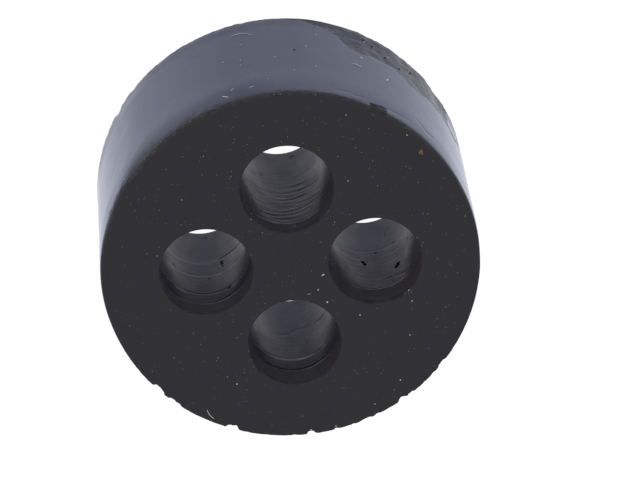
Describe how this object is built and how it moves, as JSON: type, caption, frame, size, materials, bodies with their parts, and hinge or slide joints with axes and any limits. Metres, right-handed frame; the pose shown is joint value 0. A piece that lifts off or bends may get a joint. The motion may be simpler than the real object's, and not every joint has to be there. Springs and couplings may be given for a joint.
{
  "type": "cable gland sealing insert",
  "caption": "Round rubber sealing insert for a cable gland: a short plug with parallel through bores that seal round separate thin cables when the gland is tightened.",
  "frame": {"origin": "centre of the flat rear face, on the surface that the insert stands on", "axes": "+Z along the bores, from the rear face to the front face; +X and +Y each pass through the centre of a bore"},
  "size_m": [0.02, 0.02, 0.01],
  "materials": {
    "black_rubber": "matte moulded faces and bores, smoother satin outer wall"
  },
  "bodies": {
    "root": {"sealing_insert": "black_rubber"}
  },
  "joints": []
}
